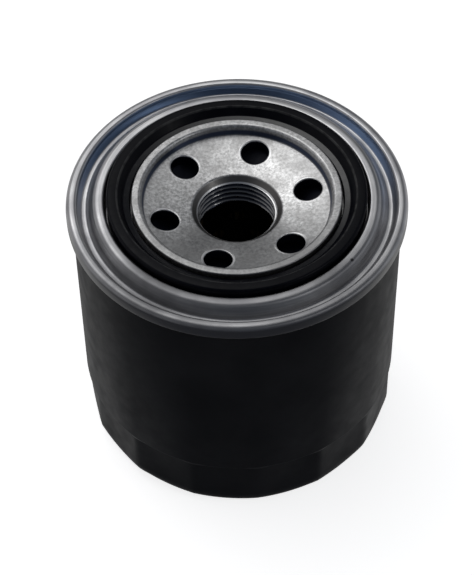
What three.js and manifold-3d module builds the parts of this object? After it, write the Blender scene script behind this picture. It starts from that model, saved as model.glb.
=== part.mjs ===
// A spin-on engine oil filter: a deep-drawn can closed by a double-seamed lid, a tapped thread plate, a
// gasket, and inside them a pleated paper element with its valves and springs. Millimetres, +Z up along
// the thread's axis. The filter stands on its closed end, and the origin is the centre of that foot.
import * as THREE from "three";
import { mergeVertices } from "three/addons/utils/BufferGeometryUtils.js";
import Module from "manifold-3d";

const wasm = await Module();
wasm.setup();

// ---- Driving dimensions ----
const SHEET = 0.45; // can and lid
const CAN_RADIUS = 39.7;
const CAN_CORNER = 5; // rounding between the can's wall and its closed end
const FOOT_INNER_RADIUS = 24; // the ring the filter stands on starts here
const FOOT_RECESS = 1.2; // how far the closed end's middle stands clear of the ground
const FLAT_COUNT = 15; // wrench flats pressed into the can's closed end
const FLAT_EDGE_DEG = -132; // where one edge between two flats stands, measured from +X
const FLAT_EDGE_RADIUS = 39.5;
const FLAT_TOP = 15.8; // where the flats end and the round wall begins
const FLAT_SHOULDER = 1.4;

const SEAM_RADIUS = 41; // outside of the rolled double seam
const SEAM_TOP = 73.3;
const SEAM_FOOT = 69.6;
const SEAM_PITCH = 0.55; // from one rolled layer to the next: the sheet and a 0.1 mm gap

const GROOVE_RADIUS = 31.63; // wall around the gasket
const GROOVE_FLOOR = 69.9;
const LAND_TOP = 73.75; // flat ring beside the gasket
const LAND_RADIUS = 34;
const VALLEY = 70.7; // lowest ring of the lid, inside the seam
const VALLEY_INNER_RADIUS = 36;
const VALLEY_OUTER_RADIUS = 37.4;

const PLATE_TOP = 70.4; // thread plate's top, on the circle of its inlet holes
const PLATE_DISH_DEG = 10; // it slopes down towards its middle
const PLATE_SHEET = 3;
const PLATE_RIM_RADIUS = 25.25; // raised ring that holds the gasket's inside
const PLATE_RIM_WIDTH = 2.15;
const PLATE_RIM_TOP = 74;
const PLATE_DISH_RADIUS = 22.4; // where the dish meets the raised ring
const PLATE_FLANGE_RADIUS = 33.2; // hidden flange under the lid
const THREAD_MINOR_RADIUS = 9.2; // M20 x 1.5
const THREAD_TOP = 67.6;
const MOUTH_RADIUS = 9.5; // the countersink above the thread
const COUNTERSINK_RADIUS = 11;
const BOSS_RADIUS = 12.4;
const BOSS_FOOT = 61;
const INLET_COUNT = 6;
const INLET_RADIUS = 3.4;
const INLET_CIRCLE_RADIUS = 17.85;
const INLET_FIRST_DEG = 15;

const GASKET_TOP = 75.2;
const GASKET_OUTER = 31.2;
const GASKET_INNER = 25.6;
const GASKET_CREST_RADIUS = 28.7; // inner edge of the flat crest
const GASKET_SHELF_DROP = 2; // the inner shelf lies this far below the crest

const CAP_SHEET = 0.5; // end caps of the element
const CAP_RADIUS = 34.85;
const CAP_SKIRT = 3;
const UPPER_CAP_TOP = 62.65;
const LOWER_CAP_UNDER = 12;
const TUBE_INNER = 15;
const TUBE_OUTER = 15.5;
const TUBE_HOLE_RADIUS = 2.7;
const TUBE_HOLE_ROWS = 3;
const TUBE_HOLE_COLUMNS = 6;
const PLEAT_COUNT = 36;
const PLEAT_INNER = 16.4;
const PLEAT_OUTER = 33.4;
const PAPER = 0.6;
const POTTING = 1.1; // adhesive bed between paper and end cap
const FIT_GAP = 0.15; // between neighbouring pieces of the element

const VALVE_WALL = 1.4; // anti-drainback valve
const VALVE_LIP_RADIUS = 25.4;
const POPPET_RADIUS = 9.2; // bypass valve
const STEM_RADIUS = 1.8;
const CAGE_RADIUS = 11.45;
const CAGE_TOP = 27.65;
const BYPASS_WIRE = 0.45; // wire radii
const ELEMENT_WIRE = 0.8;

const OUTER_SEGMENTS = 60; // round the axis; the can's flats need a multiple of FLAT_COUNT
const PLATE_SEGMENTS = 48;
const INNER_SEGMENTS = 30;
const SMALL_SEGMENTS = 20;

// ---- Materials ----
function finish(color, roughness, metalness) {
  return new THREE.MeshStandardMaterial({ color, roughness, metalness });
}
const blackPaint = finish(0x17181a, 0.42, 0.1);
const tinPlate = finish(0x9b9da2, 0.32, 0.95);
const zincPlate = finish(0xa9a9aa, 0.48, 0.9);
const gasketRubber = finish(0x0b0b0e, 0.38, 0);
const valveRubber = finish(0x1c1b1c, 0.6, 0);
const innerSteel = finish(0x8c8f92, 0.4, 0.9);
const springSteel = finish(0x6f7276, 0.3, 0.95);
const filterPaper = finish(0xc9a76a, 0.9, 0);
const pottingResin = finish(0x6a4a33, 0.6, 0);

// ---- Outlines: points are (radius, height) ----

// Corners [radius, height, rounding, chords] joined into one line. A rounding replaces its corner by an arc
// of so many chords, or of one if none are given.
function roundedLine(corners) {
  const line = [];
  corners.forEach(([x, y, rounding = 0, chords = 1], i) => {
    const corner = new THREE.Vector2(x, y);
    if (rounding === 0) {
      line.push(corner);
      return;
    }
    const [lastX, lastY] = corners[i - 1];
    const [nextX, nextY] = corners[i + 1];
    const back = new THREE.Vector2(lastX, lastY).sub(corner).normalize();
    const ahead = new THREE.Vector2(nextX, nextY).sub(corner).normalize();
    const half = Math.acos(back.dot(ahead)) / 2;
    const toCentre = back.clone().add(ahead).normalize();
    const centre = corner.clone().addScaledVector(toCentre, rounding / Math.sin(half));
    const start = corner.clone().addScaledVector(back, rounding / Math.tan(half)).sub(centre);
    const turn = Math.sign(back.cross(ahead)) * (2 * half - Math.PI);
    for (let k = 0; k <= chords; k++) {
      line.push(start.clone().rotateAround(new THREE.Vector2(), (turn * k) / chords).add(centre));
    }
  });
  return line;
}

// The line moved sideways by a distance, to the left of its direction, with mitred corners.
function offsetLine(line, distance) {
  const leftOf = (a, b) => new THREE.Vector2(a.y - b.y, b.x - a.x).normalize();
  return line.map((point, i) => {
    const before = i > 0 ? leftOf(line[i - 1], point) : leftOf(point, line[1]);
    const after = i < line.length - 1 ? leftOf(point, line[i + 1]) : before;
    const mitre = before.clone().add(after).normalize();
    return point.clone().addScaledVector(mitre, distance / mitre.dot(before));
  });
}

// The outline of a strip of one thickness that follows a line.
function stripOutline(line, thickness) {
  return [...offsetLine(line, -thickness / 2), ...offsetLine(line, thickness / 2).reverse()];
}

function rectangle(innerRadius, outerRadius, low, high) {
  return [
    new THREE.Vector2(innerRadius, low),
    new THREE.Vector2(outerRadius, low),
    new THREE.Vector2(outerRadius, high),
    new THREE.Vector2(innerRadius, high),
  ];
}

// ---- Solids ----

// An outline turned round the Z axis. One that touches the axis starts and ends there.
// Any other closes on itself.
function revolve(outline, segments) {
  const points = THREE.ShapeUtils.area(outline) > 0 ? [...outline] : [...outline].reverse();
  if (points[0].x > 0) points.push(points[0].clone());
  return new THREE.LatheGeometry(points, segments).rotateX(Math.PI / 2);
}

// A flat outline raised along Z from one height to another.
function raise(outline, low, high) {
  const settings = { depth: high - low, bevelEnabled: false };
  return new THREE.ExtrudeGeometry(new THREE.Shape(outline), settings).translate(0, 0, low);
}

function toSolid(geometry) {
  const bare = geometry.clone();
  bare.deleteAttribute("normal");
  bare.deleteAttribute("uv");
  const merged = mergeVertices(bare, 1e-3);
  const vertProperties = merged.attributes.position.array;
  const triVerts = new Uint32Array(merged.index.array);
  return new wasm.Manifold(new wasm.Mesh({ numProp: 3, vertProperties, triVerts }));
}

function cut(geometry, tools) {
  const solid = tools.reduce((left, tool) => left.subtract(toSolid(tool)), toSolid(geometry));
  const mesh = solid.getMesh();
  const result = new THREE.BufferGeometry();
  result.setAttribute("position", new THREE.BufferAttribute(mesh.vertProperties, 3));
  result.setIndex(new THREE.BufferAttribute(mesh.triVerts, 1));
  return result;
}

// The line of a coil spring about Z, with its turns closer together at both ends.
class CoilLine extends THREE.Curve {
  constructor({ lowRadius, highRadius, low, high, turns, crowding }) {
    super();
    Object.assign(this, { lowRadius, highRadius, low, high, turns, crowding });
  }
  getPoint(t, target = new THREE.Vector3()) {
    const angle = 2 * Math.PI * this.turns * t;
    const radius = THREE.MathUtils.lerp(this.lowRadius, this.highRadius, t);
    const rise = t - (this.crowding * Math.sin(2 * Math.PI * t)) / (2 * Math.PI);
    const height = THREE.MathUtils.lerp(this.low, this.high, rise);
    return target.set(radius * Math.cos(angle), radius * Math.sin(angle), height);
  }
}

function coil(line, wireRadius, stepsPerTurn) {
  const circle = new THREE.EllipseCurve(0, 0, wireRadius, wireRadius).getPoints(6);
  const section = new THREE.Shape(circle.slice(1));
  const steps = Math.round(line.turns * stepsPerTurn);
  return new THREE.ExtrudeGeometry(section, { extrudePath: line, steps });
}

const filter = new THREE.Group();
const element = new THREE.Group();
const poppet = new THREE.Group();
filter.add(element);
element.add(poppet);

function add(parent, name, geometry, material) {
  const mesh = new THREE.Mesh(geometry, material);
  mesh.name = name;
  parent.add(mesh);
}

// ---- Double seam: five sheets rolled together, numbered from the inside out ----
const seamLayer = (number) => SEAM_RADIUS - SHEET / 2 - SEAM_PITCH * (5 - number);
const lidFoldTop = SEAM_TOP - SHEET / 2;
const canFoldTop = lidFoldTop - SEAM_PITCH;

// ---- Can ----
function canShell() {
  const wall = CAN_RADIUS - SHEET / 2;
  const foot = SHEET / 2;
  const line = roundedLine([
    [0, foot + FOOT_RECESS],
    [FOOT_INNER_RADIUS - FOOT_RECESS, foot + FOOT_RECESS],
    [FOOT_INNER_RADIUS, foot],
    [wall, foot, CAN_CORNER - foot, 3],
    [wall, FLAT_TOP],
    [wall, FLAT_TOP + FLAT_SHOULDER],
    [wall, SEAM_FOOT - 1.4],
    [seamLayer(2), SEAM_FOOT - 0.5],
    [seamLayer(2), canFoldTop, 0.3],
    [seamLayer(4), canFoldTop, 0.35],
    [seamLayer(4), SEAM_FOOT + 1],
  ]);
  return pressFlats(revolve(stripOutline(line, SHEET), OUTER_SEGMENTS));
}

// Presses the wall onto FLAT_COUNT planes up to FLAT_TOP. They fade out in the corner below.
function pressFlats(geometry) {
  const position = geometry.attributes.position;
  const flatAngle = (2 * Math.PI) / FLAT_COUNT;
  const firstEdge = THREE.MathUtils.degToRad(FLAT_EDGE_DEG);
  const apothem = FLAT_EDGE_RADIUS * Math.cos(flatAngle / 2);
  for (let i = 0; i < position.count; i++) {
    const [x, y, z] = [position.getX(i), position.getY(i), position.getZ(i)];
    const radius = Math.hypot(x, y);
    if (radius < FOOT_INNER_RADIUS + 1 || z > FLAT_TOP + 0.01) continue;
    const share = THREE.MathUtils.smoothstep(z, SHEET, CAN_CORNER);
    const past = THREE.MathUtils.euclideanModulo(Math.atan2(y, x) - firstEdge, flatAngle);
    const depth = CAN_RADIUS - apothem / Math.cos(past - flatAngle / 2);
    const scale = (radius - share * depth) / radius;
    position.setXYZ(i, x * scale, y * scale, z);
  }
  return geometry;
}
add(filter, "canister_shell", canShell(), blackPaint);

// ---- Lid: gasket groove, land, valley, and the curl that is rolled round the can's edge ----
const lidLine = roundedLine([
  [PLATE_RIM_RADIUS + 0.45, GROOVE_FLOOR - SHEET / 2],
  [GROOVE_RADIUS + SHEET / 2, GROOVE_FLOOR - SHEET / 2],
  [GROOVE_RADIUS + SHEET / 2, LAND_TOP - SHEET / 2, 0.5],
  [LAND_RADIUS, LAND_TOP - SHEET / 2],
  [VALLEY_INNER_RADIUS, VALLEY - SHEET / 2],
  [VALLEY_OUTER_RADIUS, VALLEY - SHEET / 2],
  [seamLayer(1), VALLEY + 1.2],
  [seamLayer(1), lidFoldTop, 0.5],
  [seamLayer(5), lidFoldTop, 0.9, 2],
  [seamLayer(5), SEAM_FOOT + SHEET / 2, 0.3],
  [seamLayer(3), SEAM_FOOT + SHEET / 2],
  [seamLayer(3), canFoldTop - 0.6],
]);
add(filter, "seaming_lid", revolve(stripOutline(lidLine, SHEET), OUTER_SEGMENTS), tinPlate);

// ---- Thread plate, and the threaded boss that is drawn down from it ----
function plateTopAt(radius) {
  return PLATE_TOP + (radius - INLET_CIRCLE_RADIUS) * Math.tan(THREE.MathUtils.degToRad(PLATE_DISH_DEG));
}
const plateUnder = plateTopAt(PLATE_DISH_RADIUS) - PLATE_SHEET;
const bossTop = plateTopAt(BOSS_RADIUS) - PLATE_SHEET;
const bossOutline = rectangle(THREAD_MINOR_RADIUS, BOSS_RADIUS, BOSS_FOOT, bossTop);
add(filter, "threaded_boss", revolve(bossOutline, PLATE_SEGMENTS), zincPlate);

function threadPlate() {
  const flangeTop = GROOVE_FLOOR - SHEET - 0.2;
  const flangeUnder = plateUnder - 1.5;
  const outline = roundedLine([
    [THREAD_MINOR_RADIUS, bossTop],
    [BOSS_RADIUS, bossTop],
    [PLATE_DISH_RADIUS, plateUnder],
    [PLATE_RIM_RADIUS + 1, plateUnder],
    [PLATE_RIM_RADIUS + 2.2, flangeUnder],
    [PLATE_FLANGE_RADIUS, flangeUnder],
    [PLATE_FLANGE_RADIUS, flangeTop],
    [PLATE_RIM_RADIUS, flangeTop],
    [PLATE_RIM_RADIUS, PLATE_RIM_TOP, 0.4],
    [PLATE_RIM_RADIUS - PLATE_RIM_WIDTH, PLATE_RIM_TOP, 0.9, 2],
    [PLATE_DISH_RADIUS, plateTopAt(PLATE_DISH_RADIUS)],
    [COUNTERSINK_RADIUS, plateTopAt(COUNTERSINK_RADIUS), 0.5],
    [MOUTH_RADIUS, THREAD_TOP],
    [THREAD_MINOR_RADIUS, THREAD_TOP - 0.3],
  ]);
  const drills = [];
  for (let i = 0; i < INLET_COUNT; i++) {
    const drill = new THREE.CylinderGeometry(INLET_RADIUS, INLET_RADIUS, PLATE_SHEET * 2, 16);
    drill.rotateX(Math.PI / 2).translate(INLET_CIRCLE_RADIUS, 0, PLATE_TOP - PLATE_SHEET / 2);
    drills.push(drill.rotateZ(THREE.MathUtils.degToRad(INLET_FIRST_DEG) + (2 * Math.PI * i) / INLET_COUNT));
  }
  return cut(revolve(outline, PLATE_SEGMENTS), drills);
}
add(filter, "thread_plate", threadPlate(), zincPlate);

// ---- Gasket: a low shelf inside and a flat sealing crest ----
const gasketOutline = roundedLine([
  [GASKET_INNER, GROOVE_FLOOR + 0.1],
  [GASKET_OUTER, GROOVE_FLOOR + 0.1],
  [GASKET_OUTER, GASKET_TOP, 0.6],
  [GASKET_CREST_RADIUS, GASKET_TOP],
  [GASKET_CREST_RADIUS - 1.4, GASKET_TOP - GASKET_SHELF_DROP],
  [GASKET_INNER, GASKET_TOP - GASKET_SHELF_DROP],
]);
add(filter, "sealing_gasket", revolve(gasketOutline, OUTER_SEGMENTS), gasketRubber);

// ---- Anti-drainback valve: a rubber sleeve round the boss, and a cone that closes the inlet holes ----
const sleeveInner = BOSS_RADIUS + 0.2;
const sleeveFoot = UPPER_CAP_TOP - 1;
const valveSeat = UPPER_CAP_TOP + 0.1;
const lipTop = plateUnder - 0.1;
const valveOutline = roundedLine([
  [sleeveInner, sleeveFoot],
  [sleeveInner + VALVE_WALL, sleeveFoot],
  [sleeveInner + VALVE_WALL, valveSeat],
  [17, valveSeat],
  [VALVE_LIP_RADIUS - 2, lipTop - 1.3],
  [VALVE_LIP_RADIUS, lipTop - 0.7],
  [VALVE_LIP_RADIUS, lipTop],
  [VALVE_LIP_RADIUS - 2.2, lipTop],
  [16.4, valveSeat + VALVE_WALL],
  [sleeveInner, valveSeat + VALVE_WALL + 0.5],
]);
add(filter, "anti_drainback_valve", revolve(valveOutline, INNER_SEGMENTS), valveRubber);

// ---- Element: end caps, potting, centre tube and pleated paper ----
const capEdge = CAP_RADIUS - CAP_SHEET / 2;
const upperCollar = TUBE_INNER - CAP_SHEET;
const lowerCollar = CAGE_RADIUS + 1.15;
const stackLow = LOWER_CAP_UNDER + CAP_SHEET + FIT_GAP;
const stackHigh = UPPER_CAP_TOP - CAP_SHEET - FIT_GAP;
const paperLow = stackLow + POTTING + FIT_GAP;
const paperHigh = stackHigh - POTTING - FIT_GAP;

// A cap's collar, disc and skirt. Collar and skirt turn towards the paper: down from the upper cap (side
// 1), up from the lower one (side -1).
function endCap(collarRadius, discHeight, side) {
  const line = roundedLine([
    [collarRadius, discHeight - side * 2.4],
    [collarRadius, discHeight],
    [capEdge, discHeight, 0.7],
    [capEdge, discHeight - side * CAP_SKIRT],
  ]);
  return revolve(stripOutline(line, CAP_SHEET), INNER_SEGMENTS);
}
add(element, "upper_end_cap", endCap(upperCollar, UPPER_CAP_TOP - CAP_SHEET / 2, 1), innerSteel);
add(element, "lower_end_cap", endCap(lowerCollar, LOWER_CAP_UNDER + CAP_SHEET / 2, -1), innerSteel);

function pottingRing(low) {
  const outline = rectangle(TUBE_OUTER + 0.3, CAP_RADIUS - CAP_SHEET - 0.5, low, low + POTTING);
  return revolve(outline, INNER_SEGMENTS);
}
add(element, "upper_potting_ring", pottingRing(stackHigh - POTTING), pottingResin);
add(element, "lower_potting_ring", pottingRing(stackLow), pottingResin);

// Perforated tube that keeps the paper from collapsing inwards. Every other row of holes is staggered.
function centreTube() {
  const drills = [];
  for (let row = 0; row < TUBE_HOLE_ROWS; row++) {
    const height = THREE.MathUtils.lerp(stackLow, stackHigh, (row + 1) / (TUBE_HOLE_ROWS + 1));
    for (let column = 0; column < TUBE_HOLE_COLUMNS; column++) {
      const drill = new THREE.CylinderGeometry(TUBE_HOLE_RADIUS, TUBE_HOLE_RADIUS, 6, 8);
      drill.rotateZ(Math.PI / 2).translate(TUBE_OUTER, 0, height);
      drills.push(drill.rotateZ((2 * Math.PI * (column + (row % 2) / 2)) / TUBE_HOLE_COLUMNS));
    }
  }
  return cut(revolve(rectangle(TUBE_INNER, TUBE_OUTER, stackLow, stackHigh), INNER_SEGMENTS), drills);
}
add(element, "centre_tube", centreTube(), innerSteel);

// Paper folded in and out round the tube. Its two ends point outwards side by side on +X.
const paperEndHalfGap = 0.55;
function pleatedPaper() {
  const pitch = (2 * Math.PI) / PLEAT_COUNT;
  const innerFold = 0.5 / PLEAT_INNER;
  const outerFold = 0.8 / PLEAT_OUTER;
  const paperEnd = paperEndHalfGap / PLEAT_OUTER;
  const at = (radius, angle) => new THREE.Vector2(radius, 0).rotateAround(new THREE.Vector2(), angle);
  const line = [at(PLEAT_OUTER, paperEnd)];
  for (let i = 0; i < PLEAT_COUNT; i++) {
    const inner = (i + 0.5) * pitch;
    const outer = i * pitch;
    if (i > 0) line.push(at(PLEAT_OUTER, outer - outerFold), at(PLEAT_OUTER, outer + outerFold));
    line.push(at(PLEAT_INNER, inner - innerFold), at(PLEAT_INNER, inner + innerFold));
  }
  line.push(at(PLEAT_OUTER, -paperEnd));
  return raise(stripOutline(line, PAPER), paperLow, paperHigh);
}
add(element, "pleated_media", pleatedPaper(), filterPaper);

// Folded steel strip that grips the paper's two ends.
function paperClip() {
  const strip = 0.25;
  const outer = PLEAT_OUTER + 0.3;
  const inner = outer - 4;
  const halfWidth = paperEndHalfGap + PAPER / 2 + 0.3 + strip / 2;
  const line = roundedLine([
    [inner, -halfWidth],
    [outer, -halfWidth],
    [outer, halfWidth],
    [inner, halfWidth],
  ]);
  return raise(stripOutline(line, strip), paperLow, paperHigh);
}
add(element, "pleat_seam_clip", paperClip(), innerSteel);

// ---- Bypass valve, in the lower end cap ----
const seatFloor = LOWER_CAP_UNDER + 0.4;
const seatLip = seatFloor + 1.1;
const seatLine = roundedLine([
  [CAGE_RADIUS + 0.5, seatFloor + 2],
  [CAGE_RADIUS + 0.5, seatFloor],
  [7.4, seatFloor],
  [6.9, seatLip],
]);
add(element, "bypass_valve_seat", revolve(stripOutline(seatLine, SHEET), SMALL_SEGMENTS), innerSteel);

function bypassCage() {
  const line = roundedLine([
    [CAGE_RADIUS - SHEET / 2, seatFloor + 0.35],
    [CAGE_RADIUS - SHEET / 2, CAGE_TOP - SHEET / 2, 0.8],
    [STEM_RADIUS + 0.8, CAGE_TOP - SHEET / 2],
  ]);
  const windowCount = 4;
  const windows = [];
  for (let i = 0; i < windowCount; i++) {
    const window = new THREE.BoxGeometry(6, 8.5, 8.5);
    window.translate(CAGE_RADIUS, 0, (seatFloor + CAGE_TOP) / 2);
    windows.push(window.rotateZ((2 * Math.PI * i) / windowCount));
  }
  return cut(revolve(stripOutline(line, SHEET), SMALL_SEGMENTS), windows);
}
add(element, "bypass_cage", bypassCage(), innerSteel);

// The poppet: a rubber washer and a steel disc on a rivet, whose shank slides in the cage's top.
const washerLow = seatLip + 0.25;
const discLow = washerLow + 1.15;
const discHigh = discLow + 0.8;
const washerOutline = rectangle(STEM_RADIUS + FIT_GAP, POPPET_RADIUS, washerLow, discLow - FIT_GAP);
const discOutline = rectangle(STEM_RADIUS + FIT_GAP, POPPET_RADIUS, discLow, discHigh);
const rivetOutline = roundedLine([
  [0, washerLow - 1],
  [3.2, washerLow - 1],
  [3.2, washerLow - FIT_GAP],
  [STEM_RADIUS, washerLow - FIT_GAP],
  [STEM_RADIUS, CAGE_TOP + 1.4],
  [0, CAGE_TOP + 1.4],
]);
add(poppet, "bypass_seal_washer", revolve(washerOutline, SMALL_SEGMENTS), valveRubber);
add(poppet, "bypass_poppet_disc", revolve(discOutline, SMALL_SEGMENTS), innerSteel);
add(poppet, "bypass_rivet", revolve(rivetOutline, SMALL_SEGMENTS), springSteel);

const bypassCoil = new CoilLine({
  lowRadius: 4.8,
  highRadius: 4.8,
  low: discHigh + BYPASS_WIRE + 0.1,
  high: CAGE_TOP - SHEET - BYPASS_WIRE - 0.1,
  turns: 5,
  crowding: 0.35,
});
add(element, "bypass_spring", coil(bypassCoil, BYPASS_WIRE, 9), springSteel);

// ---- Element spring, between the closed end and the lower end cap ----
const elementCoil = new CoilLine({
  lowRadius: 19.5,
  highRadius: 15.5,
  low: FOOT_RECESS + SHEET + ELEMENT_WIRE + 0.1,
  high: LOWER_CAP_UNDER - ELEMENT_WIRE - 0.1,
  turns: 3,
  crowding: 0.25,
});
add(filter, "element_spring", coil(elementCoil, ELEMENT_WIRE, 14), springSteel);

export default filter;
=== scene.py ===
"""The looks of a spin-on oil filter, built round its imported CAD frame.

The frame is in metres, with +Z along the thread's axis. Outlines below are in millimetres, as (radius,
height), and every mesh is turned into metres when it is made.
"""

import math

import bpy
from mathutils import Matrix, Vector, noise


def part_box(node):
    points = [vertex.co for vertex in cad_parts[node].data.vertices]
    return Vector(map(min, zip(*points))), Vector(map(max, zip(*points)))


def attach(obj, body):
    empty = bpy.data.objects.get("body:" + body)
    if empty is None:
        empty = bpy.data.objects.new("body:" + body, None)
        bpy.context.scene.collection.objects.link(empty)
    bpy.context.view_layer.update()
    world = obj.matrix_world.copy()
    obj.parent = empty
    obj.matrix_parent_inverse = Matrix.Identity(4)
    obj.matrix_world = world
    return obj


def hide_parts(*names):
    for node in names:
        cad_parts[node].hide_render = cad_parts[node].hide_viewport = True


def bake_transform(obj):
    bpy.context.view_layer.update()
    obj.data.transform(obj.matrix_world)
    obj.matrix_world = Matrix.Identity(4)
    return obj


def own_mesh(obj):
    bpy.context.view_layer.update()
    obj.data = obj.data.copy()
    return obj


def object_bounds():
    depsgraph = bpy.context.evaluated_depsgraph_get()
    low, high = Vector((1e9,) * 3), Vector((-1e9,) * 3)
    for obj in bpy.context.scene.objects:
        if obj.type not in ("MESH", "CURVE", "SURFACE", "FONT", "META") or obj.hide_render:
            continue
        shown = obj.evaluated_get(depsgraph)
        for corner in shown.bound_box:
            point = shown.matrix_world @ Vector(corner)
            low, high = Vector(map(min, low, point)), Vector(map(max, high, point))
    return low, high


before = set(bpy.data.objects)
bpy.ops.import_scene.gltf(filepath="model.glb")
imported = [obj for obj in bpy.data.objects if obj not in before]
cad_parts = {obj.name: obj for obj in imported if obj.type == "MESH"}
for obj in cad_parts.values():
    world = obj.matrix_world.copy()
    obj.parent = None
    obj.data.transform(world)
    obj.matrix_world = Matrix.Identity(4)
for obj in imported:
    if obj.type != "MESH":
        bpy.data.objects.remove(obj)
cad_low, cad_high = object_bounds()

MM = 0.001
ROUND = 240  # vertices round the big pieces
INNER_ROUND = 120
SHEET = 0.45  # the can's and the lid's steel
CAP_SHEET = 0.5  # the element's steel
CHORD = math.radians(15)  # an arc's chords turn by no more than this


def low(node):
    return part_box(node)[0].z / MM


def high(node):
    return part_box(node)[1].z / MM


def outer(node):
    """A round node's outside radius."""
    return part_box(node)[1].y / MM


# ---------------------------------------------------------------- camera

CAMERA_ELEVATION = math.radians(49.86)
CAMERA_DISTANCE = 0.5043
CAMERA_ROLL = math.radians(0.9)
LENS = 125.48
AIM_FROM_CENTRE = Vector((-0.0003, -0.00026, 0.00218))


def make_camera():
    data = bpy.data.cameras.new("camera")
    data.lens = LENS
    data.sensor_width = 36
    data.clip_start = 0.01
    data.clip_end = 20
    camera = bpy.data.objects.new("camera", data)
    bpy.context.scene.collection.objects.link(camera)
    back = Vector((0, -math.cos(CAMERA_ELEVATION), math.sin(CAMERA_ELEVATION)))
    camera.location = (cad_low + cad_high) / 2 + AIM_FROM_CENTRE + back * CAMERA_DISTANCE
    turn = (-back).to_track_quat("-Z", "Y").to_matrix() @ Matrix.Rotation(-CAMERA_ROLL, 3, "Z")
    camera.rotation_euler = turn.to_euler()
    bpy.context.scene.camera = camera


make_camera()


# ---------------------------------------------------------------- outlines


def rounded_line(corners):
    """Corners (x, y) or (x, y, rounding) joined into one line. A rounding replaces its corner by an arc."""
    line = []
    for i, (x, y, *extra) in enumerate(corners):
        corner = Vector((x, y))
        rounding = extra[0] if extra else 0
        if not rounding:
            line.append(corner)
            continue
        behind = (Vector(corners[i - 1][:2]) - corner).normalized()
        ahead = (Vector(corners[i + 1][:2]) - corner).normalized()
        half = math.acos(max(-1, min(1, behind.dot(ahead)))) / 2
        centre = corner + (behind + ahead).normalized() * (rounding / math.sin(half))
        start = corner + behind * (rounding / math.tan(half)) - centre
        side = math.copysign(1, behind.cross(ahead))
        turn = side * (2 * half - math.pi)
        chords = max(2, math.ceil(abs(turn) / CHORD))
        for k in range(chords + 1):
            line.append(centre + Matrix.Rotation(turn * k / chords, 2) @ start)
    return line


def offset_line(line, distance):
    """The line moved sideways, to the left of its direction, with mitred corners."""
    moved = []
    for i, point in enumerate(line):
        before = point - line[i - 1] if i else line[1] - point
        after = line[i + 1] - point if i < len(line) - 1 else before
        left_before = Vector((-before.y, before.x)).normalized()
        left_after = Vector((-after.y, after.x)).normalized()
        mitre = (left_before + left_after).normalized()
        moved.append(point + mitre * (distance / mitre.dot(left_before)))
    return moved


def strip_outline(corners, thickness):
    """The outline of sheet of one thickness that follows a rounded line."""
    line = rounded_line(corners)
    return offset_line(line, -thickness / 2) + offset_line(line, thickness / 2)[::-1]


def ring_outline(inner, outer_radius, bottom, top, rounding):
    """A rectangle with rounded corners, starting in the middle of its inner side."""
    middle = (bottom + top) / 2
    corners = [
        (inner, middle),
        (inner, bottom, rounding),
        (outer_radius, bottom, rounding),
        (outer_radius, top, rounding),
        (inner, top, rounding),
        (inner, middle),
    ]
    return rounded_line(corners)[:-1]


# ---------------------------------------------------------------- meshes


def new_piece(name, points, faces, sharp_degrees=35):
    """A smooth-shaded piece from points in millimetres. Edges sharper than the given angle stay crisp."""
    mesh = bpy.data.meshes.new(name)
    mesh.from_pydata([Vector(p) * MM for p in points], [], faces)
    mesh.validate()
    mesh.polygons.foreach_set("use_smooth", [True] * len(mesh.polygons))
    mesh.set_sharp_from_angle(angle=math.radians(sharp_degrees))
    piece = bpy.data.objects.new(name, mesh)
    bpy.context.scene.collection.objects.link(piece)
    return piece


def area(outline):
    return sum(a.cross(b) for a, b in zip(outline, outline[1:] + outline[:1])) / 2


def revolve(name, outline, count=ROUND, shape=None):
    """An outline turned round the Z axis. One that touches the axis starts and ends there.

    shape(radius, height, angle), if given, returns each point's new radius.
    """
    rows = outline if area(outline) > 0 else outline[::-1]
    points, rings = [], []
    for radius, height in rows:
        if radius < 1e-6:
            rings.append([len(points)] * count)
            points.append((0, 0, height))
            continue
        rings.append(range(len(points), len(points) + count))
        for k in range(count):
            angle = 2 * math.pi * k / count
            r = shape(radius, height, angle) if shape else radius
            points.append((r * math.cos(angle), r * math.sin(angle), height))
    on_axis = rows[0][0] < 1e-6
    pairs = list(zip(rings, rings[1:])) if on_axis else list(zip(rings, [*rings[1:], rings[0]]))
    faces = []
    for near, far in pairs:
        for k in range(count):
            n = (k + 1) % count
            face = [near[k], near[n], far[n], far[k]]
            faces.append(list(dict.fromkeys(face)))
    return new_piece(name, points, [f for f in faces if len(f) > 2])


def prism(name, outline, bottom, top):
    """A flat outline raised from one height to another."""
    rows = outline if area(outline) > 0 else outline[::-1]
    count = len(rows)
    points = [(x, y, z) for z in (bottom, top) for x, y in rows]
    sides = [(k, (k + 1) % count, (k + 1) % count + count, k + count) for k in range(count)]
    caps = [tuple(reversed(range(count))), tuple(range(count, 2 * count))]
    return new_piece(name, points, sides + caps)


def wire(name, path, radius, sides=10):
    """Round wire along a list of points, with flat ends."""
    points, faces = [], []
    for i, point in enumerate(path):
        along = (path[min(i + 1, len(path) - 1)] - path[max(i - 1, 0)]).normalized()
        outward = Vector((point.x, point.y, 0)).normalized()
        across = along.cross(outward).normalized()
        outward = across.cross(along)
        for k in range(sides):
            angle = 2 * math.pi * k / sides
            points.append(point + (outward * math.cos(angle) + across * math.sin(angle)) * radius)
    for i in range(len(path) - 1):
        for k in range(sides):
            n = (k + 1) % sides
            faces.append((i * sides + k, i * sides + n, (i + 1) * sides + n, (i + 1) * sides + k))
    last = (len(path) - 1) * sides
    faces.append(tuple(reversed(range(sides))))
    faces.append(tuple(range(last, last + sides)))
    return new_piece(name, points, faces)


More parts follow.
